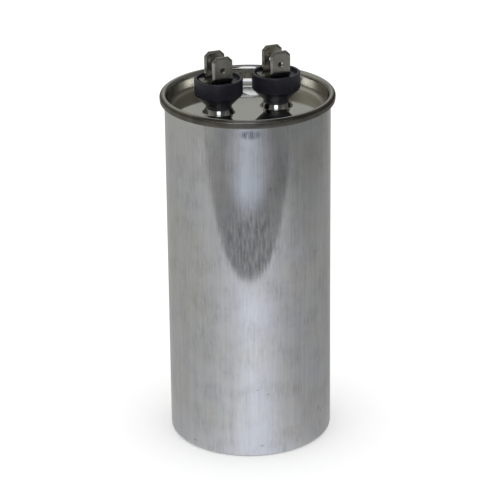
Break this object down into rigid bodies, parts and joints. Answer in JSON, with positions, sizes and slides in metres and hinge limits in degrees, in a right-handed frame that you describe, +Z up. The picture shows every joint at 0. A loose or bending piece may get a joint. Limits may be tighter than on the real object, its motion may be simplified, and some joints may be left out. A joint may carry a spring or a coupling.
{
  "type": "motor run capacitor",
  "caption": "Round aluminium-can AC capacitor with a double-seamed recessed lid and insulated terminals that end in push-on blades.",
  "frame": {"origin": "middle of the can's flat underside", "axes": "+Z up the can's axis, from the underside to the blades; +X along the line from the left terminal to the right one"},
  "size_m": [0.053, 0.053, 0.1228],
  "materials": {
    "can": "bare drawn aluminium, fine vertical drawing lines, satin",
    "lid": "tinplate, smooth and nearly mirror bright",
    "seam_compound": "matte sealing compound, hidden in the seam",
    "bushing": "dark moulded insulator, half gloss",
    "blade": "tinned stamping, dull bright, coined edges brighter",
    "rivet": "tinned rivet, dull bright",
    "gasket": "black sealing rubber",
    "inner_washer": "pale insulating washer",
    "solder_tag": "tinned brass, half gloss",
    "lead": "tinned copper wire",
    "winding_film": "metallised film roll, silvery cream",
    "wrap": "clear film wrap, cream over the roll",
    "core_tube": "natural plastic tube",
    "end_contact": "sprayed zinc, grainy and matte",
    "insulator": "pressed board, matte"
  },
  "bodies": {
    "root": {"can": "can", "lid": "lid", "seam_compound": "seam_compound", "left_bushing": "bushing", "right_bushing": "bushing", "left_blade_terminal": "blade", "right_blade_terminal": "blade", "left_rivet": "rivet", "right_rivet": "rivet", "left_gasket": "gasket", "right_gasket": "gasket", "left_inner_washer": "inner_washer", "right_inner_washer": "inner_washer", "left_solder_tag": "solder_tag", "right_solder_tag": "solder_tag", "left_lead": "lead", "right_lead": "lead", "winding": "winding_film", "winding_wrap": "wrap", "core_tube": "core_tube", "upper_end_contact": "end_contact", "lower_end_contact": "end_contact", "upper_insulator": "insulator", "lower_insulator": "insulator"}
  },
  "joints": []
}
